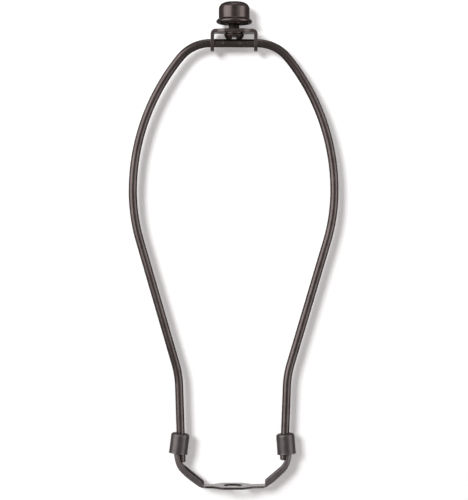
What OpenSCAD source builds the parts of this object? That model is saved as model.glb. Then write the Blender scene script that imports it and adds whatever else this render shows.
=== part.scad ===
// Lamp harp: a bent wire bow held in a stamped saddle by two sliding ferrules, with a swivelling
// bracket on its top that carries a lampshade under a screwed finial.
// Millimetres, +Z up, X across the bow, -Y towards the viewer. The origin is the centre of the
// saddle's pipe hole, on the saddle's underside.

/* [Wire bow] */
// Diameter of the bow's wire
wire_d = 4.6; // [4:0.1:5]
// Widest outside width of the bow
bow_w = 116.5; // [110:0.5:130]
// Height of the shade's seat above the underside of the saddle
seat_h = 254; // [235:1:300]
// Radius of the wire's centre line at the two top corners
corner_r = 21.5; // [18:0.5:23]
// Height of the widest point, as a share of the height from the legs' bends to the top wire
belly_share = 0.57; // [0.54:0.005:0.6]
// Radius of the centre line from the widest point down to the straight taper
belly_r = 99; // [80:1:120]
// Radius of the bend between each taper and its leg
neck_r = 50.5; // [30:0.5:70]
// Height at which each straight leg ends and its bend starts
neck_h = 56; // [54:1:66]
// Distance between the two legs' centre lines at that height
neck_gap = 59.8; // [56:0.2:66]
// Lean of each leg from the vertical, in degrees
leg_lean = 2; // [1:0.25:3]
// Height of the cut end of the left leg
left_end_h = 13.9; // [13.6:0.1:16]
// Height of the cut end of the right leg
right_end_h = 15.3; // [13.6:0.1:16]
// Chamfer round each cut end
end_chamfer = 0.5; // [0.2:0.1:1]

/* [Saddle] */
// Thickness of the saddle's sheet
saddle_t = 1.2; // [1:0.1:1.4]
// Diameter of the pipe hole, which clears a 1/8 IP lamp pipe
pipe_hole_d = 10.4; // [10.2:0.1:11]
// Length of the straight front and rear edges of the centre pad
pad_l = 11.4; // [8:0.2:14]
// Depth of the centre pad, front to rear
pad_w = 17.4; // [15:0.2:22]
// Length of the taper from the pad to the bar, on each side
pad_taper = 5; // [2:0.5:7]
// Depth of the flat bar beside the pad
bar_w = 8.4; // [7.6:0.1:10]
// Length over which the bar narrows to each arm
bar_end = 1; // [0.5:0.1:1.5]
// Outer radius of the bend between the bar and each arm
foot_r = 4.2; // [3:0.1:6]
// Rise of each arm from the horizontal, in degrees
arm_rise = 41; // [38:1:46]
// Outer radius of each arm's elbow
elbow_r = 10.5; // [8:0.5:12]
// Direction of the arm above its elbow, in degrees from the horizontal
elbow_end = 74; // [70:1:78]
// Outer radius of the slight curve above the elbow
tip_r = 30; // [24:1:40]
// Direction of the arm at its tip, in degrees from the horizontal
tip_end = 93; // [90:1:95]
// Height of each arm's tip
tip_h = 23.4; // [22.6:0.2:25]
// Gap between the wire and the back of the channel, at the tip
tip_gap = 0.5; // [0.4:0.05:0.7]
// Clearance between the wire and each flange of the channel
channel_clear = 0.1; // [0.05:0.05:0.2]
// Outer radius of the channel's two folded edges
fold_r = 2; // [1.5:0.1:2.4]
// Depth of the left arm's flanges below the wire, over the back of the sheet
left_flange = 3.6; // [3.4:0.1:4.8]
// Depth of the right arm's flanges below the wire, over the back of the sheet
right_flange = 3.2; // [3:0.1:4.8]
// Depth of both arms' flanges beside the wire
upper_flange = 3; // [2.6:0.1:3.4]
// How far the left flanges run past the foot of the arm, over the bar
left_toe = 2.7; // [0.5:0.1:3]
// How far the right flanges run past the foot of the arm, over the bar
right_toe = 0.7; // [0.5:0.1:3]
// Radius of the rounded toe of each flange
toe_r = 1.6; // [0.8:0.1:2]
// Length over which the flanges step back beside the wire
flange_step = 2; // [1:0.2:3]

/* [Ferrules] */
// Outer diameter of each ferrule
ferrule_d = 10.2; // [10:0.1:11]
// Length of each ferrule
ferrule_l = 11.3; // [10:0.1:13]
// Thickness of the ferrule's sheet
ferrule_t = 0.6; // [0.4:0.05:0.7]
// Outer radius of the ferrule's drawn shoulder
ferrule_shoulder = 1.5; // [1:0.1:2]
// How far the lip at the open end flares
ferrule_lip = 0.2; // [0.1:0.05:0.4]
// Radial clearance between the wire and the hole in the ferrule
ferrule_clear = 0.3; // [0.25:0.05:0.4]
// Height of the ferrule's top when it is down
ferrule_h = 30; // [29:0.2:31]
// Tilt of the left ferrule from the vertical, in degrees
left_tilt = 7; // [4:0.2:7]
// Tilt of the right ferrule from the vertical, in degrees
right_tilt = 4.6; // [4:0.2:7]

/* [Swivel bracket] */
// Width of the bracket over its two ears
bracket_w = 26; // [24:0.5:30]
// Depth of the bracket's strip, front to rear
strip_w = 9.2; // [8:0.2:10]
// Thickness of the bracket's strip
strip_t = 1.9; // [1.5:0.1:2.2]
// Outer radius of the two bends of the bracket
bend_r = 2.8; // [2.4:0.1:3.4]
// Depth of the pad in the middle of the strip, front to rear
seat_d = 13; // [11:0.5:16]
// Length of the pad's straight front and rear edges
seat_flat = 11.2; // [8:0.2:12]
// Length of the taper from the pad to the strip, on each side
seat_taper = 3.2; // [1:0.2:4]
// Diameter of the boss under the pad
boss_d = 10.4; // [9:0.2:12]
// Height of the boss under the pad
boss_h = 0.6; // [0.3:0.1:1]
// Radial clearance between the wire and the hole in each ear
swivel_clear = 0.08; // [0.05:0.01:0.1]
// Gap between each ear and the start of the wire's bend
ear_gap = 0.1; // [0.05:0.05:1]

/* [Stud] */
// Outer diameter of the stud, for the 1/4-27 thread that shade fittings use
stud_d = 6.35; // [6:0.05:6.5]
// Height of the stud above the shade's seat
stud_l = 10; // [8:0.5:12]
// Chamfer round the stud's tip
stud_point = 0.6; // [0.3:0.1:1]
// Widest diameter of the stud's head
head_d = 11; // [10:0.2:12]
// Height of the stud's head
head_h = 2.65; // [2:0.05:3]
// How far the head narrows towards its underside, on each side
head_taper = 1.1; // [0.6:0.1:1.5]
// Chamfer round the head's upper edge
head_edge = 0.6; // [0.3:0.1:0.8]
// Width of the slot across the head
slot_w = 2.3; // [1.5:0.1:3]
// Depth of the slot across the head
slot_h = 1.45; // [1:0.05:1.8]
// Gap between the head and the top of the wire
head_gap = 0.1; // [0.05:0.05:0.3]

/* [Finial] */
// Outer diameter of the finial's cap
cap_d = 17.1; // [15:0.1:20]
// Outer diameter of the rolled brim
brim_d = 19.9; // [19:0.1:24]
// Height of the finial's shell
cap_h = 12.1; // [11:0.1:16]
// Height of the brim and the flare above it
brim_h = 3.2; // [2.8:0.1:3.6]
// Radius of the rolled bead round the brim
bead_r = 1.15; // [0.8:0.05:1.2]
// Radius of the groove between the wall and the brim
groove_r = 0.9; // [0.6:0.1:1.2]
// Width of the rounding between the cap's top and its wall
crown_w = 4.4; // [3:0.1:6]
// Height of the rounding between the cap's top and its wall
crown_h = 3.8; // [3:0.1:5]
// How far the middle of the cap's top stands over its rounding
crown_rise = 0.2; // [0:0.05:0.5]
// Thickness of the shell's sheet
shell_t = 0.6; // [0.4:0.05:0.8]
// Gap between the shade's seat and the hub of the finial
finial_gap = 2.6; // [1:0.1:4]
// Diameter of the hub's threaded boss
hub_d = 8.8; // [8:0.2:12]
// How far the hub's boss stands out under the brim
hub_drop = 0.7; // [0.3:0.1:1.2]
// Chamfer round the lower end of the hub's boss
hub_chamfer = 0.9; // [0.4:0.1:1.2]
// Gap between the hub's boss and the inside of the cap's top
hub_top_gap = 1.5; // [0.5:0.1:3]
// Thickness of the hub's disc
hub_disc_t = 1.4; // [1:0.1:2]
// Height of the disc's underside above the lower edge of the brim
hub_disc_h = 1; // [0.6:0.1:1.6]
// Radial clearance between the stud and the bore of the hub
thread_clear = 0.06; // [0.04:0.01:0.1]
// Clearance between the hub's disc and the shell
hub_clear = 0.06; // [0.04:0.01:0.1]

/* [Hidden] */
$fn = 96;
wire_r = wire_d / 2;
slop = 0.5;
arc_steps = 6;
// Every other stretch of a bent piece is a hair thinner and runs on into its neighbours, so that
// two stretches meet in a clean edge
hair = 0.01;
lap = 0.1;

// Heights of the stack above the wire, from the shade's seat down
plate_h = seat_h - strip_t;
head_top_h = plate_h - boss_h;
wire_h = head_top_h - head_h - head_gap - wire_r;

// The wire's centre line on the right side. The shoulder is upright at the widest point and
// touches the corner's circle
half_w = bow_w / 2 - wire_r;
top_half = bracket_w / 2 + ear_gap;
neck_x = neck_gap / 2;
widest_h = neck_h + belly_share * (wire_h - neck_h);
shoulder_x = half_w - top_half;
shoulder_h = wire_h - corner_r - widest_h;
shoulder_r = (shoulder_x ^ 2 + shoulder_h ^ 2 - corner_r ^ 2) / (2 * (shoulder_x - corner_r));
corner_turn = atan2(shoulder_r - shoulder_x, shoulder_h);

// The straight taper is the line that touches both the belly's and the neck's circle
circles_x = neck_x + neck_r * cos(leg_lean) - half_w + belly_r;
circles_h = widest_h - neck_h + neck_r * sin(leg_lean);
taper_l = sqrt(circles_x ^ 2 + circles_h ^ 2 - (belly_r + neck_r) ^ 2);
taper_lean = atan2(circles_h, circles_x) - atan2(taper_l, belly_r + neck_r);
function leg_x(h) = neck_x - (neck_h - h) * tan(leg_lean);

// The outer face of the saddle's right arm, worked out from its tip down
arm_w = wire_d + 2 * (channel_clear + saddle_t);
tip_x = leg_x(tip_h) + wire_r / cos(leg_lean) + tip_gap + saddle_t;
tip_start = [
    tip_x - tip_r * (sin(tip_end) - sin(elbow_end)),
    tip_h - tip_r * (cos(elbow_end) - cos(tip_end))
];
elbow_start = tip_start - elbow_r * [sin(elbow_end) - sin(arm_rise), cos(arm_rise) - cos(elbow_end)];
foot_x = elbow_start[0] - elbow_start[1] / tan(arm_rise);
foot_cut = foot_r * tan(arm_rise / 2);
rise_l = elbow_start[1] / sin(arm_rise) - foot_cut;

// Heights of the finial
brim_low_h = seat_h + finial_gap + hub_drop;
shell_in_r = cap_d / 2 - shell_t;

// Points along an arc, for outlines
function arc(x, y, r, from, to) =
    [for (i = [0:arc_steps]) let (a = from + (to - from) * i / arc_steps) [x + r * cos(a), y + r * sin(a)]];

// A path is a start [x, z, direction] and a list of steps [length or radius, turn]. A turn of 0
// is a straight, a positive turn is to the left, and the section's first axis points left.
function past(s, step) =
    step[1] == 0
        ? [s[0] + step[0] * cos(s[2]), s[1] + step[0] * sin(s[2]), s[2]]
        : let (side = sign(step[1]) * step[0], a = s[2] + step[1])
            [s[0] + side * (sin(a) - sin(s[2])), s[1] - side * (cos(a) - cos(s[2])), a];
function walk(s, steps, i = 0) =
    i == len(steps) ? [s] : concat([s], walk(past(s, steps[i]), steps, i + 1));

// The side plane: x stays x, y becomes height, and z points to the viewer
module side_plane() {
    rotate([90, 0, 0]) children();
}

// One stretch of a path, with a lap past each of its ends
module stretch(s, step, lap = 0) {
    turned = lap / step[0] * 180 / PI;
    if (step[1] == 0)
        translate([s[0] - lap * cos(s[2]), s[1] - lap * sin(s[2]), 0])
            rotate([90, 0, s[2] + 90])
                linear_extrude(step[0] + 2 * lap)
                    children();
    else if (step[1] > 0)
        translate([s[0] - step[0] * sin(s[2]), s[1] + step[0] * cos(s[2]), 0])
            rotate([0, 0, s[2] - 90 - turned])
                rotate_extrude(angle = step[1] + 2 * turned)
                    translate([step[0], 0])
                        mirror([1, 0])
                            children();
    else
        translate([s[0] + step[0] * sin(s[2]), s[1] - step[0] * cos(s[2]), 0])
            rotate([0, 0, s[2] + 90 + step[1] - turned])
                rotate_extrude(angle = 2 * turned - step[1])
                    translate([step[0], 0])
                        children();
}

// One leg of the bow with its chamfered end, along +Z
module leg(end_h) {
    leg_l = (neck_h - end_h) / cos(leg_lean);
    rotate_extrude()
        polygon([
            [0, 0], [wire_r - end_chamfer, 0], [wire_r, end_chamfer], [wire_r, leg_l], [0, leg_l]
        ]);
}

// One side of the bow, from the cut end of the leg up to the straight top
module bow_side(end_h) {
    steps = [
        [neck_r, leg_lean - taper_lean],
        [taper_l, 0],
        [belly_r, taper_lean],
        [shoulder_r, 90 - corner_turn],
        [corner_r, corner_turn]
    ];
    states = walk([neck_x, neck_h, 90 - leg_lean], steps);
    translate([leg_x(end_h), 0, end_h])
        rotate([0, leg_lean, 0])
            leg(end_h);
    side_plane()
        for (i = [0:len(steps) - 1])
            let (thin = 1 - i % 2)
                stretch(states[i], steps[i], thin * lap)
                    circle(r = wire_r - thin * hair);
}

module harp_bow() {
    color("#4a4140")
        union() {
            bow_side(right_end_h);
            mirror([1, 0, 0]) bow_side(left_end_h);
            translate([-top_half, 0, wire_h])
                rotate([0, 90, 0])
                    cylinder(h = 2 * top_half, r = wire_r);
        }
}

// The folded channel's section: back at x = 0, flanges to x = deep, thinner by an inset all round
module channel_section(deep, inset = 0) {
    h = arm_w / 2 - inset;
    out_r = fold_r - inset;
    in_r = fold_r - saddle_t + inset;
    polygon(concat(
        [[deep - inset, -h]], arc(fold_r, out_r - h, out_r, 270, 180),
        arc(fold_r, h - out_r, out_r, 180, 90),
        [[deep - inset, h], [deep - inset, h - saddle_t + 2 * inset]],
        arc(fold_r, h - out_r, in_r, 90, 180),
        arc(fold_r, out_r - h, in_r, 180, 270),
        [[deep - inset, saddle_t - h - 2 * inset]]
    ));
}

// The outline of a flange's toe, where it runs out over the bar
module toe_outline(deep, toe) {
    along = [cos(arm_rise), sin(arm_rise)];
    left = [-sin(arm_rise), cos(arm_rise)];
    foot = [foot_x, 0];
    toe_x = foot_x - toe;
    top = foot + (foot_cut + slop) * along;
    run = (toe_r - toe + (deep - toe_r) * sin(arm_rise)) / cos(arm_rise);
    centre = foot + (deep - toe_r) * left + run * along;
    polygon(concat(
        [[toe_x, saddle_t / 2]],
        arc(centre[0], centre[1], toe_r, 180, 90 + arm_rise),
        [top + deep * left, top + saddle_t * left, foot + foot_cut * along + saddle_t / 2 * left],
        [foot + [0, saddle_t / 2 + foot_cut * sin(arm_rise) / 4]]
    ));
}

module arm(deep, toe) {
    start = [foot_x - foot_cut, 0, 0];
    steps = [
        [foot_r, arm_rise], [rise_l, 0], [elbow_r, elbow_end - arm_rise], [tip_r, tip_end - elbow_end]
    ];
    states = walk(start, steps);
    side_plane() {
        stretch(states[0], steps[0], lap)
            translate([hair, hair - arm_w / 2])
                square([saddle_t - 2 * hair, arm_w - 2 * hair]);
        stretch(states[1], steps[1]) channel_section(deep);
        difference() {
            stretch(states[2], steps[2], lap) channel_section(deep, hair);
            translate([states[3][0], states[3][1], -arm_w])
                rotate([0, 0, elbow_end])
                    linear_extrude(2 * arm_w)
                        polygon([
                            [slop, upper_flange - hair], [0, upper_flange - hair],
                            [-flange_step, deep + slop], [slop, deep + slop]
                        ]);
        }
        stretch(states[3], steps[3]) channel_section(upper_flange);
        for (z = [2 * hair - arm_w / 2, arm_w / 2 - saddle_t + 2 * hair])
            translate([0, 0, z])
                linear_extrude(saddle_t - 4 * hair)
                    toe_outline(deep - 2 * hair, toe);
    }
}

// Half of the flat base, seen from above
function base_half() = [
    [pad_l / 2, -pad_w / 2], [pad_l / 2 + pad_taper, -bar_w / 2],
    [foot_x - foot_cut - bar_end, -bar_w / 2], [foot_x - foot_cut, -arm_w / 2],
    [foot_x - foot_cut, arm_w / 2], [foot_x - foot_cut - bar_end, bar_w / 2],
    [pad_l / 2 + pad_taper, bar_w / 2], [pad_l / 2, pad_w / 2]
];

module saddle() {
    color("#4d4443")
        difference() {
            union() {
                linear_extrude(saddle_t)
                    polygon(concat(base_half(), [for (p = base_half()) -p]));
                arm(right_flange, right_toe);
                mirror([1, 0, 0]) arm(left_flange, left_toe);
            }
            translate([0, 0, -slop])
                cylinder(h = saddle_t + 2 * slop, d = pipe_hole_d);
        }
}

// A drawn cup, open at z = 0, with a hole for the wire in its top
module ferrule_cup() {
    r = ferrule_d / 2;
    hole_r = wire_r + ferrule_clear;
    s = ferrule_shoulder;
    inner_s = s - ferrule_t;
    rotate_extrude()
        polygon(concat(
            [[r - ferrule_t, 0], [r + ferrule_lip, 0], [r, 3 * ferrule_lip]],
            arc(r - s, ferrule_l - s, s, 0, 90),
            [[hole_r, ferrule_l], [hole_r, ferrule_l - ferrule_t]],
            arc(r - s, ferrule_l - s, inner_s, 90, 0)
        ));
}

module ferrule(tilt) {
    translate([leg_x(ferrule_h), 0, ferrule_h])
        rotate([0, -tilt, 0])
            translate([0, 0, -ferrule_l])
                ferrule_cup();
}

module left_ferrule() {
    color("#5a504e") mirror([1, 0, 0]) ferrule(left_tilt);
}

module right_ferrule() {
    color("#5a504e") ferrule(right_tilt);
}

// One ear of the bracket with its bend, on the right
module ear() {
    steps = [[bend_r, -90], [seat_h - bend_r - wire_h, 0]];
    states = walk([bracket_w / 2 - bend_r, seat_h, 0], steps);
    side_plane()
        for (i = [0, 1])
            stretch(states[i], steps[i])
                translate([-strip_t, -strip_w / 2])
                    square([strip_t, strip_w]);
    translate([bracket_w / 2 - strip_t, 0, wire_h])
        rotate([0, 90, 0])
            cylinder(h = strip_t, d = strip_w);
}

// Half of the bracket's pad, seen from above
function seat_half() = [
    [-seat_flat / 2, -seat_d / 2], [seat_flat / 2, -seat_d / 2],
    [seat_flat / 2 + seat_taper, -strip_w / 2]
];

module swivel_bracket() {
    plate_half = bracket_w / 2 - bend_r;
    color("#4d4443")
        difference() {
            union() {
                translate([-plate_half, -strip_w / 2, plate_h])
                    cube([2 * plate_half, strip_w, strip_t]);
                translate([0, 0, plate_h])
                    linear_extrude(strip_t)
                        polygon(concat(seat_half(), [for (p = seat_half()) -p]));
                translate([0, 0, head_top_h])
                    cylinder(h = boss_h + strip_t / 2, d = boss_d);
                ear();
                mirror([1, 0, 0]) ear();
            }
            translate([0, 0, head_top_h - slop])
                cylinder(h = boss_h + strip_t + 2 * slop, d = stud_d + 2 * thread_clear);
            translate([-bracket_w, 0, wire_h])
                rotate([0, 90, 0])
                    cylinder(h = 2 * bracket_w, r = wire_r + swivel_clear);
        }
}

module shade_stud() {
    r = head_d / 2;
    shank_r = stud_d / 2;
    top = head_top_h;
    low = head_top_h - head_h;
    tip = seat_h + stud_l;
    color("#3c3433")
        difference() {
            rotate_extrude()
                polygon([
                    [0, low], [r - head_taper, low], [r - head_taper / 2, low + head_taper / 3],
                    [r, top - 2 * head_edge], [r, top - head_edge], [r - head_edge, top],
                    [shank_r, top], [shank_r, tip - stud_point], [shank_r - stud_point, tip], [0, tip]
                ]);
            translate([-slot_w / 2, -head_d, low - slop])
                cube([slot_w, 2 * head_d, slot_h + slop]);
        }
}

// The finial's hub: a disc inside the shell, with a bored boss through it
module finial_hub() {
    bore_r = stud_d / 2 + thread_clear;
    boss_low = brim_low_h - hub_drop;
    boss_top = brim_low_h + cap_h - shell_t - hub_top_gap;
    disc_low = brim_low_h + hub_disc_h;
    color("#3c3433")
        rotate_extrude()
            polygon([
                [bore_r, boss_low], [hub_d / 2 - hub_chamfer, boss_low],
                [hub_d / 2, boss_low + hub_chamfer],
                [hub_d / 2, disc_low], [shell_in_r - hub_clear, disc_low],
                [shell_in_r - hub_clear, disc_low + hub_disc_t], [hub_d / 2, disc_low + hub_disc_t],
                [hub_d / 2, boss_top], [bore_r, boss_top]
            ]);
}

// The finial's shell: a drawn cap whose edge flares into a rolled brim
module finial_shell() {
    r = cap_d / 2;
    wall_h = brim_low_h + brim_h;
    top = brim_low_h + cap_h;
    bead_x = brim_d / 2 - bead_r;
    bead_z = brim_low_h + bead_r;
    corner_x = r - crown_w;
    corner_z = top - crown_rise - crown_h;
    function crown(inset) = [
        for (i = [0:2 * arc_steps]) let (a = 90 * i / (2 * arc_steps))
            [corner_x + (crown_w - inset) * cos(a), corner_z + (crown_h - inset) * sin(a)]
    ];
    color("#5a504e")
        rotate_extrude()
            polygon(concat(
                [[shell_in_r, brim_low_h + bead_r / 2]],
                arc(bead_x, bead_z, bead_r, 225, 420),
                arc(r + groove_r, wall_h, groove_r, 240, 180),
                crown(0), [[0, top], [0, top - shell_t]],
                [for (i = [2 * arc_steps:-1:0]) crown(shell_t)[i]]
            ));
}

saddle();
harp_bow();
left_ferrule();
right_ferrule();
swivel_bracket();
shade_stud();
finial_hub();
finial_shell();
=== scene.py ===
"""A lamp harp in dark bronze paint: a bent wire bow in a stamped saddle, two sliding ferrules, a
swivelling shade bracket with its slotted stud, and a drawn finial. It hangs just in front of a
white sheet."""

import math

import bmesh
import bpy
from mathutils import Matrix, Vector


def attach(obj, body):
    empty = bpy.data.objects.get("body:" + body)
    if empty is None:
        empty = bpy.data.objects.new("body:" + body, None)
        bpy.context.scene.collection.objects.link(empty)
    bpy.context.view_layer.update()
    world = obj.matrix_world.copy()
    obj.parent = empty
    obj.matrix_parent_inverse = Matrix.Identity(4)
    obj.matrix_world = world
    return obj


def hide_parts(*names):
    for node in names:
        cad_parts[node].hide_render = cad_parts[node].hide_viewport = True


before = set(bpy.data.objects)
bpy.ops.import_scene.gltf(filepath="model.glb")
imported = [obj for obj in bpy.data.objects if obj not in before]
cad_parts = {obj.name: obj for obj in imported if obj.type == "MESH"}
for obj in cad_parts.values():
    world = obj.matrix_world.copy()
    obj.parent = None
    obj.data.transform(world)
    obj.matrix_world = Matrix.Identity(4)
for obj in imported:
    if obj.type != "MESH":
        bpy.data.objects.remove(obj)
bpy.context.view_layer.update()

# Sizes in millimetres, as the CAD part has them
WIRE_R = 2.3
WIRE_H = 246.45
HALF_W = 55.95
TOP_HALF = 13.1
CORNER_R, CORNER_TURN = 21.5, 51.0615
SHOULDER_R = 117.594
WIDEST_H = 164.5565
BELLY_R, TAPER_LEAN, TAPER_L = 99.0, 16.3634, 71.0797
NECK_R, NECK_H, NECK_X, LEG_LEAN = 50.5, 56.0, 29.9, 2.0
LEFT_END_H, RIGHT_END_H, END_CHAMFER = 13.9, 15.3, 0.5

SHEET_T = 1.2
HOLE_R = 5.2
PAD_X, PAD_Y, PAD_TAPER = 5.7, 8.7, 5.0
BAR_Y, ARM_Y, FOLD_R = 4.2, 3.6, 2.0
FOOT_X, FOOT_R, ARM_RISE, RISE_L = 18.6241, 4.2, 41.0, 11.4324
ELBOW_R, ELBOW_END, TIP_R, TIP_END = 10.5, 74.0, 30.0, 93.0
LEFT_FLANGE, RIGHT_FLANGE, UPPER_FLANGE = 3.6, 3.2, 3.0
LEFT_TAPER, RIGHT_TAPER = 0.45, 0.1
LEFT_TOE, RIGHT_TOE, TOE_R, FLANGE_STEP = 2.7, 0.7, 1.6, 2.0

FERRULE_R, FERRULE_L, FERRULE_T = 5.1, 11.3, 0.6
FERRULE_SHOULDER, FERRULE_LIP, FERRULE_BORE = 1.5, 0.2, 2.6
FERRULE_H, LEFT_TILT, RIGHT_TILT = 30.0, 7.0, 4.6

SEAT_H = 254.0
PLATE_T, PLATE_HALF, BEND_R = 1.9, 10.2, 2.8
STRIP_Y, SEAT_X, SEAT_Y, SEAT_TAPER, BOSS_R, BOSS_H = 4.6, 5.6, 6.5, 3.2, 5.2, 0.6
STUD_BORE, EAR_BORE = 3.235, 2.38

STUD_R, STUD_TIP, PITCH = 3.175, 264.0, 0.9407
HEAD_R, HEAD_TOP, HEAD_LOW = 5.5, 251.5, 248.85
SLOT_X, SLOT_H = 1.15, 1.45

CAP_R, CAP_TOP, BRIM_LOW = 8.55, 269.4, 257.3
BRIM_H, BEAD_R, BEAD_X, GROOVE_R = 3.2, 1.15, 8.8, 0.9
CROWN_W, CROWN_H, CROWN_RISE, SHELL_T = 4.4, 3.8, 0.2, 0.6
HUB_R, HUB_LOW, HUB_TOP, HUB_DISC_R = 4.4, 256.6, 267.3, 7.89
HUB_DISC_LOW, HUB_DISC_TOP = 258.3, 259.7

MM = 0.001
VIEW_AXIS = (0, -1, 0)


def leg_x(height):
    """Distance of a leg's centre line from the middle, at a height below its bend."""
    return NECK_X - (NECK_H - height) * math.tan(math.radians(LEG_LEAN))


def along(heading):
    """Unit vector in the side plane, for an angle up from the X axis in degrees."""
    return Vector((math.cos(math.radians(heading)), 0, math.sin(math.radians(heading))))


def last(made, kind):
    """The vertices or the edges that a spin left at its end."""
    return [part for part in made["geom_last"] if isinstance(part, kind)]


class Pen:
    """Draws an outline in the side plane from one vertex, in lines and arcs."""

    def __init__(self, bm, x, z):
        self.bm = bm
        self.tip = bm.verts.new((x, 0, z))

    def line(self, x, z):
        self.tip = bmesh.ops.extrude_vert_indiv(self.bm, verts=[self.tip])["verts"][0]
        self.tip.co = (x, 0, z)
        return self

    def arc(self, x, z, degrees, steps=8, flat=1.0):
        """An arc about x, z, anticlockwise as the viewer sees it, flattened upwards."""
        start = self.tip
        start.co.z = z + (start.co.z - z) / flat
        before = set(self.bm.verts)
        made = bmesh.ops.spin(
            self.bm,
            geom=[start],
            cent=(x, 0, z),
            axis=VIEW_AXIS,
            angle=math.radians(degrees),
            steps=steps,
        )
        for vert in {start, *(set(self.bm.verts) - before)}:
            vert.co.z = z + (vert.co.z - z) * flat
        self.tip = last(made, bmesh.types.BMVert)[0]
        return self

    def close(self):
        """Joins the outline's two ends where they meet."""
        bmesh.ops.remove_doubles(self.bm, verts=self.bm.verts, dist=1e-5)
        return self.bm


class Sweep:
    """Draws a loop of edges along a path in the side plane."""

    def __init__(self, bm, edges, place, heading):
        self.bm, self.edges = bm, edges
        self.place, self.heading = Vector(place), heading

    def rim(self):
        return list({vert for edge in self.edges for vert in edge.verts})

    def straight(self, length, steps=1):
        for _ in range(steps):
            made = bmesh.ops.extrude_edge_only(self.bm, edges=self.edges)["geom"]
            fresh = {part for part in made if isinstance(part, bmesh.types.BMVert)}
            self.edges = [
                part
                for part in made
                if isinstance(part, bmesh.types.BMEdge) and set(part.verts) <= fresh
            ]
            step = along(self.heading) * length / steps
            bmesh.ops.translate(self.bm, verts=list(fresh), vec=step)
            self.place += step
        return self

    def scale(self, factor):
        bmesh.ops.scale(
            self.bm,
            verts=self.rim(),
            vec=(factor, factor, factor),
            space=Matrix.Translation(-self.place),
        )
        return self

    def bend(self, radius, turn, steps):
        """Turns to the left as the viewer sees it, or to the right if turn is negative."""
        side = math.copysign(radius, turn)
        centre = self.place + along(self.heading + 90) * side
        made = bmesh.ops.spin(
            self.bm,
            geom=self.edges,
            cent=centre,
            axis=VIEW_AXIS,
            angle=math.radians(turn),
            steps=steps,
        )
        self.edges = last(made, bmesh.types.BMEdge)
        self.heading += turn
        self.place = centre - along(self.heading + 90) * side
        return self

    def cap(self):
        bmesh.ops.contextual_create(self.bm, geom=self.edges)


def turn_round(bm, steps=72):
    """Spins the whole outline once about the upright axis."""
    bmesh.ops.spin(
        bm,
        geom=list(bm.verts) + list(bm.edges),
        cent=(0, 0, 0),
        axis=(0, 0, 1),
        angle=math.tau,
        steps=steps,
        use_merge=True,
    )
    bmesh.ops.remove_doubles(bm, verts=bm.verts, dist=1e-5)
    return bm


def sharp_edges(bm, degrees):
    return [
        edge
        for edge in bm.edges
        if len(edge.link_faces) == 2 and edge.calc_face_angle(0) > math.radians(degrees)
    ]


def soften(bm, offset, degrees=50, segments=2):
    """Rounds every edge sharper than an angle."""
    bmesh.ops.bevel(
        bm,
        geom=sharp_edges(bm, degrees),
        offset=offset,
        offset_type="OFFSET",
        affect="EDGES",
        segments=segments,
        profile=0.5,
        material=-1,
        clamp_overlap=True,
    )


def add_piece(name, bm, finish, body, node, sharp=40):
    """Makes the piece in metres, smooth-shaded, and lets it stand for its CAD node."""
    bmesh.ops.remove_doubles(bm, verts=bm.verts, dist=1e-4)
    bmesh.ops.dissolve_degenerate(bm, edges=bm.edges, dist=1e-4)
    bmesh.ops.recalc_face_normals(bm, faces=bm.faces)
    for face in bm.faces:
        face.smooth = True
    for edge in sharp_edges(bm, sharp):
        edge.smooth = False
    bmesh.ops.scale(bm, verts=bm.verts, vec=(MM, MM, MM))
    mesh = bpy.data.meshes.new(name)
    bm.to_mesh(mesh)
    bm.free()
    piece = bpy.data.objects.new(name, mesh)
    bpy.context.scene.collection.objects.link(piece)
    mesh.materials.append(finish)
    normals = piece.modifiers.new("even_normals", "WEIGHTED_NORMAL")
    normals.keep_sharp = True
    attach(piece, body)
    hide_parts(node)
    return piece


# ---------------------------------------------------------------------------------- finishes


class Shade:
    """An output of a material's nodes, or a plain number, for use in Python expressions."""

    def __init__(self, tree, link):
        self.tree, self.link = tree, link

    def node(self, kind, settings=None, sockets=None, output=0):
        """Adds any node: its settings first, then its sockets' values or links."""
        made = self.tree.nodes.new(kind)
        for name, value in (settings or {}).items():
            if name == "stops":
                for stop, (place, colour) in zip(ramp_stops(made, len(value)), value):
                    stop.position, stop.color = place, colour
            else:
                setattr(made, name, value)
        for name, value in (sockets or {}).items():
            if isinstance(value, Shade):
                self.tree.links.new(value.link, made.inputs[name])
            else:
                made.inputs[name].default_value = value
        return Shade(self.tree, made.outputs[output] if made.outputs else None)

    def maths(self, operation, *values):
        return self.node("ShaderNodeMath", {"operation": operation}, dict(enumerate(values)))

    def __add__(self, other):
        return self.maths("ADD", self, other)

    __radd__ = __add__

    def __mul__(self, other):
        return self.maths("MULTIPLY", self, other)

    __rmul__ = __mul__

    def __sub__(self, other):
        return self.maths("SUBTRACT", self, other)

    def __rsub__(self, other):
        return self.maths("SUBTRACT", other, self)


def ramp_stops(ramp, count):
    """The stops of a ramp, with as many as are needed."""
    while len(ramp.color_ramp.elements) < count:
        ramp.color_ramp.elements.new(0.5)
    return ramp.color_ramp.elements


def new_tree(name):
    material = bpy.data.materials.new(name)
    material.use_nodes = True
    material.node_tree.nodes.clear()
    return material, Shade(material.node_tree, None)


def between(shade, factor, low, high):
    """A colour from low to high by a factor."""
    return shade.node(
        "ShaderNodeMix",
        {"data_type": "RGBA"},
        {"Factor": factor, 6: low, 7: high},
        output=2,
    )


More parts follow.
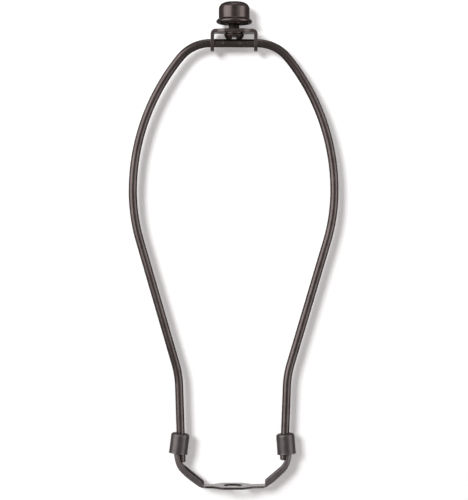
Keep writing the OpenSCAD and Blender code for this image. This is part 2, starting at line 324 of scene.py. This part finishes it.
def bronze_finish(name, dark, light, gloss, metal=0.0, sheen=0.25, grain=1.0, skin_depth=0.22):
    """Dark bronze finish: a mottled brown with a fine orange-peel skin and dulled edges."""
    material, shade = new_tree(name)
    place = shade.node("ShaderNodeTexCoord", output="Object")
    mottle = shade.node(
        "ShaderNodeTexNoise",
        None,
        {"Vector": place, "Scale": 210.0, "Detail": 5.0, "Roughness": 0.62},
    )
    cloud = shade.node(
        "ShaderNodeTexNoise", None, {"Vector": place, "Scale": 38.0, "Detail": 2.0}
    )
    peel = shade.node(
        "ShaderNodeTexNoise",
        None,
        {"Vector": place, "Scale": 900.0 * grain, "Detail": 2.0, "Roughness": 0.4},
    )
    grit = shade.node(
        "ShaderNodeTexNoise", None, {"Vector": place, "Scale": 3200.0 * grain, "Detail": 1.0}
    )
    fleck = shade.node(
        "ShaderNodeMapRange",
        {"interpolation_type": "SMOOTHSTEP"},
        {"Value": 0.65 * mottle + 0.35 * cloud, "From Min": 0.36, "From Max": 0.66},
    )
    skin = shade.node(
        "ShaderNodeBump",
        None,
        {"Height": 0.8 * peel + 0.2 * grit, "Strength": skin_depth, "Distance": 0.00012},
    )
    paint = shade.node(
        "ShaderNodeBsdfPrincipled",
        None,
        {
            "Base Color": between(shade, fleck, dark, light),
            "Roughness": gloss + 0.10 * (mottle - 0.5) + 0.06 * (peel - 0.5),
            "Metallic": metal,
            "Specular IOR Level": sheen,
            "Specular Tint": (0.25, 0.22, 0.22, 1) if metal else (1.0, 0.92, 0.90, 1),
            "Normal": skin,
        },
    )
    shade.node("ShaderNodeOutputMaterial", None, {"Surface": paint})
    return material


WIRE_FINISH = bronze_finish(
    "wire_finish", (0.028, 0.022, 0.021, 1), (0.038, 0.031, 0.030, 1), 0.25, 0.8, 0.5
)
SHELL_FINISH = bronze_finish(
    "shell_finish", (0.028, 0.022, 0.021, 1), (0.038, 0.031, 0.030, 1), 0.27, 0.8, 0.5
)
FERRULE_FINISH = bronze_finish(
    "ferrule_finish", (0.036, 0.031, 0.031, 1), (0.050, 0.043, 0.043, 1), 0.36, 0.55, 0.5
)
# A darker copy of the bronze paint for the stud and the finial's boss: painted shade for the shadow they sit in
# under the bracket and the cap.
STUD_SHADED_PAINT = bronze_finish(
    "stud_shaded_paint", (0.014, 0.009, 0.008, 1), (0.024, 0.017, 0.015, 1), 0.40, 0.6, 0.3
)
BRACKET_FINISH = bronze_finish(
    "bracket_finish", (0.022, 0.015, 0.014, 1), (0.040, 0.030, 0.029, 1), 0.30, 0.0, 0.25
)
SADDLE_FINISH = bronze_finish(
    "saddle_finish", (0.042, 0.032, 0.033, 1), (0.078, 0.063, 0.066, 1), 0.25, 0.0, 0.5, 1.6, 0.4
)
# A darker copy of the saddle's paint for its cut edges: painted shade along them, not a different finish.
CUT_EDGE_SHADE = bronze_finish(
    "cut_edge_painted_shade", (0.012, 0.008, 0.008, 1), (0.026, 0.019, 0.019, 1), 0.42, 0.0, 0.15, 1.6
)


# ---------------------------------------------------------------------------------- wire bow


def wire_bow():
    bm = bmesh.new()
    heading = 90 + LEG_LEAN
    start = Vector((-leg_x(LEFT_END_H), 0, LEFT_END_H))
    bmesh.ops.create_circle(
        bm,
        cap_ends=True,
        radius=WIRE_R - END_CHAMFER,
        segments=48,
        matrix=Matrix.Translation(start) @ Matrix.Rotation(-math.radians(LEG_LEAN), 4, "Y"),
    )
    slope = math.cos(math.radians(LEG_LEAN))
    chamfer = WIRE_R / (WIRE_R - END_CHAMFER)
    path = Sweep(bm, list(bm.edges), start, heading)
    path.straight(END_CHAMFER).scale(chamfer)
    path.straight((NECK_H - LEFT_END_H) / slope - END_CHAMFER, 14)
    path.bend(NECK_R, TAPER_LEAN - LEG_LEAN, 12).straight(TAPER_L, 12)
    path.bend(BELLY_R, -TAPER_LEAN, 16).bend(SHOULDER_R, CORNER_TURN - 90, 36)
    path.bend(CORNER_R, -CORNER_TURN, 26)
    path.straight(2 * TOP_HALF, 66)
    path.bend(CORNER_R, -CORNER_TURN, 26).bend(SHOULDER_R, CORNER_TURN - 90, 36)
    path.bend(BELLY_R, -TAPER_LEAN, 16).straight(TAPER_L, 12)
    path.bend(NECK_R, TAPER_LEAN - LEG_LEAN, 12)
    path.straight((NECK_H - RIGHT_END_H) / slope - END_CHAMFER, 14)
    path.straight(END_CHAMFER).scale(1 / chamfer)
    path.cap()
    for middle, depth, reach in ((-6.9, 0.34, 1.0), (2.6, 0.30, 0.9), (-1.8, 0.10, 3.0)):
        pinch(bm, middle, depth, reach)
    add_piece("wire_bow", bm, WIRE_FINISH, "harp", "harp_bow")


def pinch(bm, middle, depth, reach):
    """Presses a small dimple into the front of the top wire."""
    for vert in bm.verts:
        x, y, z = vert.co
        if abs(x - middle) < 4 * reach and z > WIRE_H - 2 * WIRE_R and y < 0:
            level = (z - WIRE_H + 0.4) / 1.1
            fall = math.exp(-(((x - middle) / reach) ** 2) - level**2)
            vert.co.y += depth * fall


# ---------------------------------------------------------------------------------- saddle


class Row:
    """One section of the saddle's sheet: its web's outer face, its sides' top and their fold."""

    def __init__(self, low, top, half=ARM_Y, fold=FOLD_R):
        self.low, self.top, self.half, self.fold = low, top, half, fold

    def outline(self):
        """Half of the closed section, from under its middle out, up, over and back."""
        rise = self.top - self.low
        height = rise.length
        up = rise / height
        fold = min(self.fold, height)
        deep = max(fold, SHEET_T)
        flat, inner, t = self.half - fold, deep - SHEET_T, SHEET_T
        points = [(flat * i / 3, 0) for i in range(4)]
        for i in range(1, 7):
            turn = math.radians(15 * i)
            points.append((flat + fold * math.sin(turn), fold * (1 - math.cos(turn))))
        points += [(self.half, height), (self.half - t, height), (self.half - t, deep)]
        for i in range(1, 5):
            turn = math.radians(22.5 * i)
            points.append(
                (self.half - deep + inner * math.cos(turn), deep - inner * math.sin(turn))
            )
        points += [((self.half - deep) * (1 - i / 3), t) for i in range(1, 4)]
        return [Vector((0, y, 0)) + self.low + up * v for y, v in points]


def flat_row(x, half):
    return Row(Vector((x, 0, 0)), Vector((x, 0, SHEET_T)), half, 0)


def arm_rows(middle_deep, taper, toe):
    """Rows from the end of the pad's taper, along the bar and up the arm to its tip."""
    deep = middle_deep + taper
    rise, left = along(ARM_RISE), along(ARM_RISE + 90)
    foot = Vector((FOOT_X, 0, 0))
    cut = FOOT_R * math.tan(math.radians(ARM_RISE / 2))
    toe_x = FOOT_X - toe
    run = (TOE_R - toe - (deep - TOE_R) * left.x) / rise.x
    toe_mid = foot + (deep - TOE_R) * left + run * rise
    first = max(cut, run + 0.5)
    rise_start = foot + first * rise

    # Along the bar to the toe's upright edge
    rows = [flat_row(PAD_X + PAD_TAPER, BAR_Y), flat_row(toe_x - 1.0, BAR_Y)]
    rows.append(flat_row(toe_x, ARM_Y))

    # Round the foot, under the toe's rounded outline
    tops = [Vector((toe_x, 0, (SHEET_T + toe_mid.z) / 2)), Vector((toe_x, 0, toe_mid.z))]
    tops += [toe_mid + TOE_R * along(180 - (90 - ARM_RISE) * i / 6) for i in range(1, 7)]
    corner, end = tops[-1], rise_start + deep * left
    tops += [corner.lerp(end, i / 3) for i in range(1, 4)]
    for i, top in enumerate(tops):
        share = i / (len(tops) - 1)
        x = toe_x + (rise_start.x - toe_x) * share
        reach = max(0.0, x - FOOT_X + cut)
        if reach < FOOT_R * rise.z:
            low = Vector((x, 0, FOOT_R - math.sqrt(FOOT_R**2 - reach**2)))
        else:
            low = foot + rise * (x - FOOT_X) / rise.x
        rows.append(Row(low, top, fold=FOLD_R * share**1.5))

    # Up the straight rise, round the elbow and along the slow bend of the tip
    for i in range(1, 7):
        low = rise_start + rise * (RISE_L + cut - first) * i / 6
        rows.append(Row(low, low + (deep - taper * i / 6) * left))
    step = FLANGE_STEP / (math.radians(ELBOW_END - ARM_RISE) * (ELBOW_R - middle_deep))
    heading = ARM_RISE
    for radius, end_heading, count in ((ELBOW_R, ELBOW_END, 20), (TIP_R, TIP_END, 12)):
        centre = low + along(heading + 90) * radius
        for i in range(1, count + 1):
            fall = (i / count - 1 + step) / step if radius == ELBOW_R else 1
            height = middle_deep - taper * i / count
            height -= (height - UPPER_FLANGE) * min(1, max(0, fall))
            out = along(heading + (end_heading - heading) * i / count + 90)
            low = centre - out * radius
            rows.append(Row(low, low + out * height))
        heading = end_heading
    return rows


def arm_sheet(bm, deep, taper, toe, side):
    """A grid laid round half of the arm's section, row by row."""
    outlines = [row.outline() for row in arm_rows(deep, taper, toe)]
    columns = len(outlines[0])
    made = bmesh.ops.create_grid(
        bm, x_segments=len(outlines) - 1, y_segments=columns - 1, size=1
    )
    verts = sorted(made["verts"], key=lambda vert: (round(vert.co.x, 5), round(vert.co.y, 5)))
    for i, vert in enumerate(verts):
        place = outlines[i // columns][i % columns]
        vert.co = (place.x * side, place.y, place.z)


def pad_sheet(bm):
    """Half of the pad round the pipe's hole, between the first rows of the two arms."""
    arms = list(bm.verts)
    rims, edges = [], []
    for z in (0, SHEET_T):
        old = set(bm.verts)
        first = bm.verts.new((HOLE_R, 0, z))
        bmesh.ops.spin(bm, geom=[first], axis=(0, 0, 1), angle=math.pi, steps=28)
        rim = sorted(set(bm.verts) - old, key=lambda vert: -vert.co.x)
        left, right = (
            sorted(
                (
                    vert
                    for vert in arms
                    if abs(vert.co.x - side * (PAD_X + PAD_TAPER)) < 1e-4
                    and abs(vert.co.z - z) < 1e-4
                ),
                key=lambda vert: vert.co.y,
            )
            for side in (-1, 1)
        )
        corners = [bm.verts.new((side * PAD_X, PAD_Y, z)) for side in (-1, 1)]
        bm.faces.new(rim + left + corners + right[::-1])
        rims.append(rim)
        edges.append([left[-1], *corners, right[-1]])
    for low, high in (rims, edges):
        for corners in zip(low, low[1:], high[1:], high):
            bm.faces.new(corners)


def saddle():
    bm = bmesh.new()
    arm_sheet(bm, RIGHT_FLANGE, RIGHT_TAPER, RIGHT_TOE, 1)
    arm_sheet(bm, LEFT_FLANGE, LEFT_TAPER, LEFT_TOE, -1)
    bmesh.ops.remove_doubles(bm, verts=bm.verts, dist=1e-4)
    bmesh.ops.dissolve_degenerate(bm, edges=bm.edges, dist=1e-4)
    pad_sheet(bm)
    bmesh.ops.mirror(
        bm, geom=list(bm.verts) + list(bm.edges) + list(bm.faces), axis="Y", merge_dist=1e-4
    )
    bmesh.ops.remove_doubles(bm, verts=bm.verts, dist=1e-4)
    bmesh.ops.holes_fill(bm, edges=[edge for edge in bm.edges if edge.is_boundary], sides=0)
    bmesh.ops.recalc_face_normals(bm, faces=bm.faces)
    trim_front_flange(bm)
    ease_feet(bm)
    round_pad(bm)
    # The upright cut edges of the pad and the bar take the darker copy of the paint: painted shade.
    for face in bm.faces:
        level = max(vert.co.z for vert in face.verts) < SHEET_T + 0.01
        if level and abs(face.normal.z) < 0.3 and abs(face.calc_center_median().x) < FOOT_X:
            face.material_index = 1
    soften(bm, 0.2, segments=3)
    saddle_piece = add_piece(
        "stamped_saddle", bm, SADDLE_FINISH, "harp", "saddle"
    )
    saddle_piece.data.materials.append(CUT_EDGE_SHADE)


def trim_front_flange(bm):
    """The left arm's front flange stands a little lower than its rear one, and starts later."""
    rise, out = along(180 - ARM_RISE), along(90 - ARM_RISE)
    foot = Vector((-FOOT_X, 0, 0))
    for vert in bm.verts:
        if vert.co.y > -2.3 or vert.co.x > LEFT_TOE - FOOT_X + 0.1:
            continue
        height, run = (vert.co - foot).dot(out), (vert.co - foot).dot(rise)
        if height < 1.4 or run > 15:
            continue
        above = min(1.0, max(0.0, (vert.co.z - SHEET_T - 0.1) / 0.8))
        fade = min(1.0, max(0.0, (15 - run) / 4))
        start = min(1.0, max(0.0, (3.2 - run) / 4))
        vert.co -= out * (height - 1.4) * 0.32 * fade * above
        vert.co += rise * 1.3 * start * above * min(1.0, (height - 1.4) / 1.5)


def ease_feet(bm):
    """Lets each arm rise from the bar in a softer bend and belly out a little above it."""
    slope = math.tan(math.radians(ARM_RISE))
    for vert in bm.verts:
        reach = abs(vert.co.x)
        up, down, belly = (0.5, 0.4, 23.5) if vert.co.x > 0 else (0.3, 0.55, 26.0)
        height = vert.co.z - max(0.0, (reach - FOOT_X) * slope)
        lift = up * math.exp(-(((reach - FOOT_X) / 2.0) ** 2))
        sag = down * math.exp(-(((reach - belly) / 3.6) ** 2))
        vert.co.z += (lift - sag) * min(1.0, max(0.0, 1.15 - height / 4))


def round_pad(bm):
    """Rounds the pad's four corners, as a die cuts them."""
    upright = [
        edge
        for edge in bm.edges
        if abs(edge.verts[0].co.x - edge.verts[1].co.x) < 1e-3
        and abs(edge.verts[0].co.y - edge.verts[1].co.y) < 1e-3
        and abs(abs(edge.verts[0].co.x) - PAD_X) < 0.01
        and abs(abs(edge.verts[0].co.y) - PAD_Y) < 0.01
    ]
    bmesh.ops.bevel(
        bm,
        geom=upright,
        offset=1.2,
        offset_type="OFFSET",
        affect="EDGES",
        segments=5,
        profile=0.5,
        material=-1,
        clamp_overlap=True,
    )


# ---------------------------------------------------------------------------------- ferrules


def ferrule(name, side, tilt, node):
    """A drawn cup with a rounded shoulder, a hole for the wire and a slightly flared lip."""
    inside, shoulder = FERRULE_R - FERRULE_T, FERRULE_SHOULDER
    bm = bmesh.new()
    pen = Pen(bm, inside, 0.12).line(inside + 0.12, 0)
    pen.line(FERRULE_R + FERRULE_LIP - 0.1, 0).arc(FERRULE_R + FERRULE_LIP - 0.1, 0.1, 90, 3)
    pen.line(FERRULE_R + FERRULE_LIP * 0.4, 0.5).line(FERRULE_R, 1.0)
    pen.line(FERRULE_R, FERRULE_L - shoulder)
    pen.arc(FERRULE_R - shoulder, FERRULE_L - shoulder, 90, 10)
    pen.line(FERRULE_BORE + 0.15, FERRULE_L).arc(FERRULE_BORE + 0.15, FERRULE_L - 0.15, 90, 3)
    pen.line(FERRULE_BORE, FERRULE_L - FERRULE_T)
    pen.line(FERRULE_R - shoulder, FERRULE_L - FERRULE_T)
    pen.arc(FERRULE_R - shoulder, FERRULE_L - shoulder, -90, 8)
    pen.line(inside, 0.12)
    turn_round(pen.close(), 80)
    place = (
        Matrix.Translation((side * leg_x(FERRULE_H), 0, FERRULE_H))
        @ Matrix.Rotation(-side * math.radians(tilt), 4, "Y")
        @ Matrix.Translation((0, 0, -FERRULE_L))
    )
    bmesh.ops.transform(bm, matrix=place, verts=bm.verts)
    add_piece(name, bm, FERRULE_FINISH, node, node)


# ---------------------------------------------------------------------------------- bracket


def fold_strip(place):
    """Where a point of the flat strip lies once its two ears are bent down."""
    side, reach = math.copysign(1, place.x), abs(place.x)
    bend_l = BEND_R * math.pi / 2
    if reach <= PLATE_HALF:
        return Vector((place.x, place.y, SEAT_H))
    if reach < PLATE_HALF + bend_l:
        angle = (reach - PLATE_HALF) / BEND_R
        x = PLATE_HALF + BEND_R * math.sin(angle)
        return Vector((side * x, place.y, SEAT_H - BEND_R * (1 - math.cos(angle))))
    down = reach - PLATE_HALF - bend_l
    return Vector((side * (PLATE_HALF + BEND_R), place.y, SEAT_H - BEND_R - down))


def swivel_bracket():
    bend_l = BEND_R * math.pi / 2
    ear = PLATE_HALF + bend_l + SEAT_H - BEND_R - WIRE_H
    bm = bmesh.new()
    pen = Pen(bm, STUD_BORE, 0).line(ear - EAR_BORE, 0).arc(ear, 0, -180, 20)
    pen.line(ear + STRIP_Y, 0).arc(ear, 0, 90, 18)
    for i in range(9):
        share = i / 8
        out = SEAT_X + SEAT_TAPER + 0.7 - share * (SEAT_TAPER + 1.4)
        pen.line(out, STRIP_Y + (SEAT_Y - STRIP_Y) * share**2 * (3 - 2 * share))
    pen.line(0, SEAT_Y).line(0, STUD_BORE).arc(0, 0, -90, 12)
    pen.close()
    for vert in bm.verts:
        vert.co.y, vert.co.z = vert.co.z, 0
    bmesh.ops.contextual_create(bm, geom=list(bm.edges))
    for i in range(11):
        bmesh.ops.bisect_plane(
            bm,
            geom=list(bm.verts) + list(bm.edges) + list(bm.faces),
            plane_co=(PLATE_HALF + bend_l * i / 10, 0, 0),
            plane_no=(1, 0, 0),
        )
    for axis in "XY":
        bmesh.ops.mirror(
            bm, geom=list(bm.verts) + list(bm.edges) + list(bm.faces), axis=axis, merge_dist=1e-4
        )
        bmesh.ops.remove_doubles(bm, verts=bm.verts, dist=1e-4)
    for vert in bm.verts:
        vert.co = fold_strip(vert.co)
    bmesh.ops.recalc_face_normals(bm, faces=bm.faces)
    if max(bm.faces, key=lambda face: face.calc_center_median().z).normal.z < 0:
        bmesh.ops.reverse_faces(bm, faces=bm.faces)
    bmesh.ops.solidify(bm, geom=list(bm.faces), thickness=PLATE_T)
    bmesh.ops.recalc_face_normals(bm, faces=bm.faces)
    soften(bm, 0.22, segments=3)

    boss = bmesh.new()
    low, high = SEAT_H - PLATE_T - BOSS_H, SEAT_H - PLATE_T + 0.3
    pen = Pen(boss, STUD_BORE, high).line(STUD_BORE, low).line(BOSS_R - 0.25, low)
    pen.arc(BOSS_R - 0.25, low + 0.25, 90, 4).line(BOSS_R, high).line(STUD_BORE, high)
    turn_round(pen.close(), 64)
    collar = bpy.data.meshes.new("collar")
    boss.to_mesh(collar)
    boss.free()
    bm.from_mesh(collar)
    bpy.data.meshes.remove(collar)
    add_piece("shade_bracket", bm, BRACKET_FINISH, "swivel", "swivel_bracket")


# ---------------------------------------------------------------------------------- stud


def thread(bm, low, high, root, crest):
    """A screw surface between two heights, with a small flat on its crest and its root."""
    turns = math.ceil((high - low) / PITCH) + 1
    start = low - PITCH
    pen = Pen(bm, root, start).line(root, start + 0.12)
    pen.line(crest, start + PITCH / 2 - 0.06).line(crest, start + PITCH / 2 + 0.06)
    pen.line(root, start + PITCH)
    steps = 40
    bmesh.ops.spin(
        bm,
        geom=list(bm.verts) + list(bm.edges),
        cent=(0, 0, 0),
        axis=(0, 0, 1),
        dvec=(0, 0, PITCH / steps),
        angle=math.tau * turns,
        steps=steps * turns,
    )
    bmesh.ops.remove_doubles(bm, verts=bm.verts, dist=0.02)
    for height, way in ((low, -1), (high, 1)):
        cut = bmesh.ops.bisect_plane(
            bm,
            geom=list(bm.verts) + list(bm.edges) + list(bm.faces),
            plane_co=(0, 0, height),
            plane_no=(0, 0, way),
            clear_outer=True,
        )["geom_cut"]
        edges = [part for part in cut if isinstance(part, bmesh.types.BMEdge)]
        bmesh.ops.contextual_create(bm, geom=edges)


def shade_stud():
    bm = bmesh.new()
    thread(bm, HEAD_TOP - 0.3, STUD_TIP, STUD_R - 0.5, STUD_R)
    for vert in bm.verts:
        limit = STUD_R - 0.6 + (STUD_TIP - vert.co.z)
        reach = math.hypot(vert.co.x, vert.co.y)
        if reach > limit:
            vert.co.x, vert.co.y = vert.co.x * limit / reach, vert.co.y * limit / reach

    head = bmesh.new()
    pen = Pen(head, 0, HEAD_LOW).line(HEAD_R - 1.5, HEAD_LOW)
    pen.arc(HEAD_R - 1.5, HEAD_LOW + 1.0, 52, 5).line(HEAD_R, HEAD_TOP - 0.9)
    pen.line(HEAD_R, HEAD_TOP - 0.6).arc(HEAD_R - 0.6, HEAD_TOP - 0.6, 90, 5)
    pen.line(0, HEAD_TOP)
    turn_round(pen.close(), 64)
    roof = HEAD_LOW + SLOT_H
    for place, way in (
        ((SLOT_X, 0, 0), (1, 0, 0)),
        ((-SLOT_X, 0, 0), (1, 0, 0)),
        ((0, 0, roof), (0, 0, 1)),
    ):
        bmesh.ops.bisect_plane(
            head,
            geom=list(head.verts) + list(head.edges) + list(head.faces),
            plane_co=place,
            plane_no=way,
        )
    bmesh.ops.delete(
        head,
        geom=[
            face
            for face in head.faces
            if abs(face.calc_center_median().x) < SLOT_X and face.calc_center_median().z < roof
        ],
        context="FACES",
    )
    ends = {}
    for vert in head.verts:
        if vert.is_boundary and abs(vert.co.z - roof) < 1e-4 and abs(abs(vert.co.x) - SLOT_X) < 1e-4:
            ends[vert.co.x > 0, vert.co.y > 0] = vert
    for right in (True, False):
        ridge = head.edges.new((ends[right, True], ends[right, False]))
        wall = [
            edge
            for edge in head.edges
            if edge.is_boundary and all(abs(v.co.x - (SLOT_X if right else -SLOT_X)) < 1e-4 for v in edge.verts)
        ]
        bmesh.ops.contextual_create(head, geom=wall + [ridge])
    bmesh.ops.holes_fill(head, edges=[edge for edge in head.edges if edge.is_boundary], sides=0)
    bmesh.ops.recalc_face_normals(head, faces=head.faces)
    shape = bpy.data.meshes.new("head")
    head.to_mesh(shape)
    head.free()
    bm.from_mesh(shape)
    bpy.data.meshes.remove(shape)
    # The stud takes the darker copy of the paint: painted shade.
    add_piece("slotted_stud", bm, STUD_SHADED_PAINT, "swivel", "shade_stud", sharp=32)


# ---------------------------------------------------------------------------------- finial


def finial_hub():
    bore = STUD_R + 0.06
    bm = bmesh.new()
    pen = Pen(bm, bore, HUB_LOW + 0.3).line(bore + 0.3, HUB_LOW)
    pen.line(HUB_R - 1.0, HUB_LOW).arc(HUB_R - 1.0, HUB_LOW + 1.0, 90, 6)
    pen.line(HUB_R, HUB_DISC_LOW - 0.2).arc(HUB_R + 0.2, HUB_DISC_LOW - 0.2, -90, 4)
    pen.line(HUB_DISC_R - 0.2, HUB_DISC_LOW).arc(HUB_DISC_R - 0.2, HUB_DISC_LOW + 0.2, 90, 3)
    pen.line(HUB_DISC_R, HUB_DISC_TOP).line(HUB_R, HUB_DISC_TOP)
    pen.line(HUB_R, HUB_TOP).line(bore, HUB_TOP).line(bore, HUB_LOW + 0.3)
    turn_round(pen.close(), 72)
    # The boss takes the darker copy of the paint: painted shade under the cap.
    add_piece("finial_boss", bm, STUD_SHADED_PAINT, "finial_hub", "finial_hub")


def finial_shell():
    inside = CAP_R - SHELL_T
    crown_x, crown_z = CAP_R - CROWN_W, CAP_TOP - CROWN_RISE - CROWN_H
    wall_low = BRIM_LOW + BRIM_H
    bead_z = BRIM_LOW + BEAD_R
    dome_r = (crown_x**2 + CROWN_RISE**2) / (2 * CROWN_RISE)
    bm = bmesh.new()
    pen = Pen(bm, 0, CAP_TOP)
    pen.arc(0, CAP_TOP - dome_r, -math.degrees(math.asin(crown_x / dome_r)), 6)
    pen.arc(crown_x, crown_z, -90, 20, flat=CROWN_H / CROWN_W)
    pen.line(CAP_R, wall_low).arc(CAP_R + GROOVE_R, wall_low, 60, 8)
    pen.line(BEAD_X + BEAD_R * 0.5, bead_z + BEAD_R * math.sqrt(0.75))
    pen.arc(BEAD_X, bead_z, -230, 26)
    pen.line(inside, bead_z + 0.4).line(inside, crown_z)
    pen.arc(crown_x, crown_z, 90, 14, flat=(CROWN_H - SHELL_T) / (CROWN_W - SHELL_T))
    pen.line(0, CAP_TOP - CROWN_RISE - SHELL_T)
    turn_round(pen.close(), 112)
    add_piece("finial_cap", bm, SHELL_FINISH, "finial_shell", "finial_shell")


# ---------------------------------------------------------------------------------- stage


def seen(shade):
    """1 for what the camera, a reflection or glass sees, 0 for the light on the object."""
    names = ("Is Camera Ray", "Is Glossy Ray", "Is Transmission Ray")
    camera_ray, glossy, through = (
        shade.node("ShaderNodeLightPath", output=name) for name in names
    )
    return shade.maths("MINIMUM", camera_ray + glossy + through, 1.0)


def white_sheet(gap):
    """The white sheet behind the harp. It shows from the front only and keeps the shadow."""
    bm = bmesh.new()
    bmesh.ops.create_grid(bm, x_segments=1, y_segments=1, size=1.4)
    bmesh.ops.rotate(bm, verts=bm.verts, matrix=Matrix.Rotation(math.pi / 2, 3, "X"))
    bmesh.ops.translate(bm, verts=bm.verts, vec=(0, gap * MM, 0.13))
    mesh = bpy.data.meshes.new("white_sheet")
    bm.to_mesh(mesh)
    bm.free()
    sheet = bpy.data.objects.new("white_sheet", mesh)
    bpy.context.scene.collection.objects.link(sheet)
    material, shade = new_tree("white_sheet")
    mesh.materials.append(material)
    paper = shade.node(
        "ShaderNodeBsdfPrincipled",
        None,
        {
            "Base Color": (0.80, 0.80, 0.80, 1),
            "Roughness": 1.0,
            "Specular IOR Level": 0.0,
            "Emission Color": between(shade, seen(shade), (0, 0, 0, 1), SHEET_GLOW),
            "Emission Strength": 1.0,
        },
    )
    clear = shade.node("ShaderNodeBsdfTransparent")
    back = shade.node("ShaderNodeNewGeometry", output="Backfacing")
    surface = shade.node("ShaderNodeMixShader", None, {0: back, 1: paper, 2: clear})
    shade.node("ShaderNodeOutputMaterial", None, {"Surface": surface})


def soft_box(name, bearing, rise, distance, size, radiance, gloss_only=False):
    """An area lamp aimed at the harp's middle, by its angles off the camera's axis."""
    turn, lift = math.radians(bearing), math.radians(rise)
    way = Vector((math.sin(turn) * math.cos(lift), -math.cos(turn) * math.cos(lift), math.sin(lift)))
    lamp = bpy.data.lights.new(name, "AREA")
    lamp.shape, lamp.size, lamp.size_y = "RECTANGLE", size[0], size[1]
    lamp.energy = radiance * math.pi * size[0] * size[1]
    box = bpy.data.objects.new(name, lamp)
    bpy.context.scene.collection.objects.link(box)
    box.location = Vector((0, 0, 0.13)) + distance * way
    box.rotation_euler = way.to_track_quat("Z", "Y").to_euler()
    box.visible_diffuse, box.visible_glossy = not gloss_only, gloss_only


def studio():
    """A key light from the upper left, two tall cards that only reflections show, and a fill."""
    scene = bpy.context.scene
    scene.view_settings.view_transform = "Standard"
    world = bpy.data.worlds.new("studio")
    scene.world = world
    world.use_nodes = True
    world.node_tree.nodes.clear()
    shade = Shade(world.node_tree, None)
    level = FILL + (1 - FILL) * seen(shade)
    sky = shade.node("ShaderNodeBackground", None, {"Color": (1, 1, 1, 1), "Strength": level})
    shade.node("ShaderNodeOutputWorld", None, {"Surface": sky})
    soft_box("key", -24.5, 15.0, 3.0, (0.78, 0.78), KEY_RADIANCE)
    soft_box("top_fill", 20.0, 76.0, 1.2, (0.9, 0.5), TOP_FILL)
    soft_box("left_card", -53.0, 18.0, 1.0, (1.10, 1.20), LEFT_RADIANCE, gloss_only=True)
    soft_box("right_card", 62.0, 8.0, 1.0, (0.70, 1.20), RIGHT_RADIANCE, gloss_only=True)
    soft_box("near_card", 32.0, 18.0, 1.0, (0.34, 1.20), NEAR_RADIANCE, gloss_only=True)
    soft_box("top_card", 10.0, 82.0, 1.0, (0.5, 0.4), TOP_RADIANCE, gloss_only=True)


def camera():
    """Square on, at the distance and eye level that the plates' slants in the photo give."""
    lens = bpy.data.cameras.new("camera")
    eye = bpy.data.objects.new("camera", lens)
    bpy.context.scene.collection.objects.link(eye)
    bpy.context.scene.camera = eye
    distance, eye_level = 890.0, 142.0
    pixel = 0.555
    middle = (487.3 - 250) * pixel
    lens.sensor_width = 36
    lens.lens = 36 * distance / (500 * pixel)
    lens.shift_y = (middle - eye_level) / (500 * pixel)
    eye.location = (0.28 * MM, -distance * MM, eye_level * MM)
    eye.rotation_euler = (math.pi / 2, math.radians(-0.18), 0)
    lens.clip_start, lens.clip_end = 0.05, 10


FILL = 0.22
SHEET_GLOW = (0.285, 0.265, 0.265, 1)
KEY_RADIANCE = 39.0
TOP_FILL = 4.0
LEFT_RADIANCE = 8.6
RIGHT_RADIANCE = 6.0
NEAR_RADIANCE = 1.6
TOP_RADIANCE = 4.0

wire_bow()
saddle()
ferrule("left_ferrule_cup", -1, LEFT_TILT, "left_ferrule")
ferrule("right_ferrule_cup", 1, RIGHT_TILT, "right_ferrule")
swivel_bracket()
shade_stud()
finial_hub()
finial_shell()
white_sheet(10.05)
studio()
camera()
